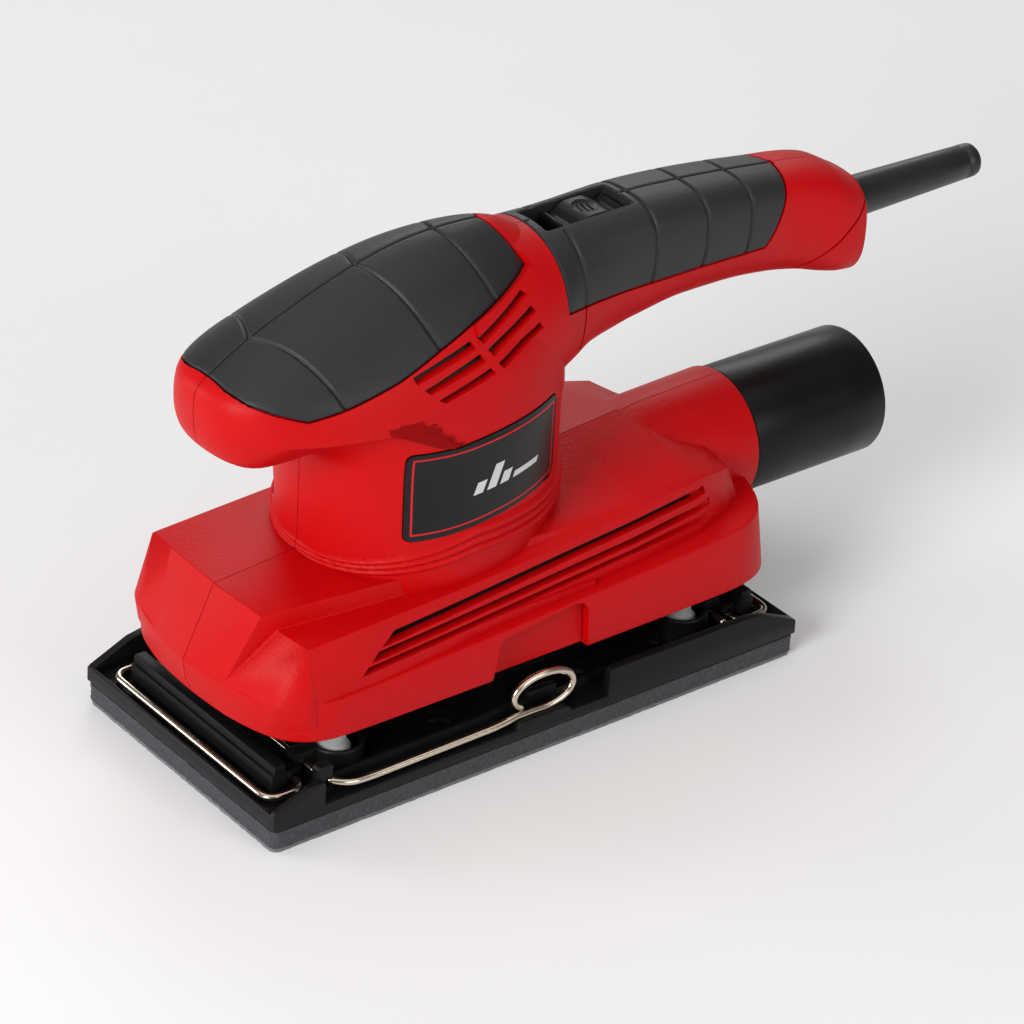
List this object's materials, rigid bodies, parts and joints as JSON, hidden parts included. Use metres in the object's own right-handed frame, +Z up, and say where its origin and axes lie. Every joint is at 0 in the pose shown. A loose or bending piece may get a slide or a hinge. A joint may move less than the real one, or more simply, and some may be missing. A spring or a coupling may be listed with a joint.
{
  "type": "orbital finishing sander",
  "caption": "Corded orbital finishing sander with a rectangular foam pad, wire sheet clamps, soft-grip head and handle, slide switch and round dust outlet.",
  "frame": {"origin": "centre of the sanding face, the underside of the hook layer", "axes": "+Z up out of the pad, -X towards the nose, +X towards the handle's end and the dust outlet, -Y the left side"},
  "size_m": [0.2845, 0.092, 0.1495],
  "materials": {
    "red_plastic": "fine spark texture, satin",
    "soft_grip": "soft overmould, matte",
    "plate_film": "printed film, satin",
    "screw_steel": "black zinc",
    "black_plastic": "moulded, satin",
    "black_rubber": "matte",
    "blue_film": "dipped film",
    "core_steel": "stacked laminations",
    "copper": "enamelled copper",
    "ground_steel": "ground",
    "zinc": "cast zinc",
    "brass": "stamped",
    "carbon": "pressed graphite",
    "pale_rubber": "translucent, satin",
    "foam": "open cell, matte",
    "hook_cloth": "hook pile",
    "nickel_wire": "bright nickel"
  },
  "bodies": {
    "housing": {"housing_left": "red_plastic", "housing_right": "red_plastic", "head_grip_left": "soft_grip", "head_grip_right": "soft_grip", "handle_grip_left": "soft_grip", "handle_grip_right": "soft_grip", "name_plate_left": "plate_film", "name_plate_right": "plate_film", "screw_nose": "screw_steel", "screw_column_front": "screw_steel", "screw_column_rear": "screw_steel", "screw_handle_front": "screw_steel", "screw_handle_rear": "screw_steel", "screw_skirt_front": "screw_steel", "screw_skirt_rear": "screw_steel", "switch_module": "black_plastic", "cord_sleeve": "black_rubber", "cord_clamp": "black_plastic", "cord_clamp_screw_left": "screw_steel", "cord_clamp_screw_right": "screw_steel", "suppressor_capacitor": "blue_film", "lead_live": "black_rubber", "lead_neutral": "blue_film", "stator_core": "core_steel", "field_coil_left": "copper", "field_coil_right": "copper", "upper_bearing": "ground_steel", "lower_bearing": "ground_steel", "brush_holder_left": "brass", "brush_holder_right": "brass", "carbon_brush_left": "carbon", "carbon_brush_right": "carbon", "rubber_leg_front_left": "pale_rubber", "rubber_leg_front_right": "pale_rubber", "rubber_leg_rear_left": "pale_rubber", "rubber_leg_rear_right": "pale_rubber"},
    "rotor": {"motor_shaft": "ground_steel", "rotor_core": "core_steel", "commutator": "copper", "cooling_fan": "black_plastic", "counterweight": "zinc"},
    "pad": {"base_plate": "black_plastic", "pad_bearing": "ground_steel", "foam_pad": "foam", "hook_layer": "hook_cloth"},
    "switch": {"switch_slider": "black_plastic"},
    "front_lever": {"front_clamp_lever": "nickel_wire"},
    "front_jaw": {"front_clamp_jaw": "nickel_wire"},
    "rear_lever": {"rear_clamp_lever": "nickel_wire"},
    "rear_jaw": {"rear_clamp_jaw": "nickel_wire"},
    "outlet": {"dust_adapter": "black_plastic"}
  },
  "joints": [
    {"name": "rotor_spin", "type": "hinge", "parent": "housing", "child": "rotor", "pos_m": [-0.011, 0, 0.08], "axis": [0, 0, 1], "continuous": true},
    {"name": "pad_orbit", "type": "hinge", "parent": "rotor", "child": "pad", "pos_m": [-0.01, 0, 0.016], "axis": [0, 0, 1], "continuous": true},
    {"name": "switch_slide", "type": "slide", "parent": "housing", "child": "switch", "axis": [-1, 0, 0], "range_m": [0, 0.007]},
    {"name": "front_lever_lift", "type": "hinge", "parent": "pad", "child": "front_lever", "pos_m": [-0.0724, 0, 0.0138], "axis": [0, -1, 0], "range_deg": [0, 12]},
    {"name": "front_jaw_lift", "type": "hinge", "parent": "pad", "child": "front_jaw", "pos_m": [-0.078, 0, 0.0122], "axis": [0, 1, 0], "range_deg": [0, 20]},
    {"name": "rear_lever_lift", "type": "hinge", "parent": "pad", "child": "rear_lever", "pos_m": [0.0724, 0, 0.0138], "axis": [0, 1, 0], "range_deg": [0, 12]},
    {"name": "rear_jaw_lift", "type": "hinge", "parent": "pad", "child": "rear_jaw", "pos_m": [0.078, 0, 0.0122], "axis": [0, -1, 0], "range_deg": [0, 20]},
    {"name": "outlet_pull", "type": "slide", "parent": "housing", "child": "outlet", "axis": [1, 0, 0], "range_m": [0, 0.03]}
  ],
  "couplings": [
    {"joint": "pad_orbit", "follows": "rotor_spin", "ratio": -1},
    {"joint": "front_jaw_lift", "follows": "front_lever_lift", "ratio": 1.5},
    {"joint": "rear_jaw_lift", "follows": "rear_lever_lift", "ratio": 1.5}
  ]
}
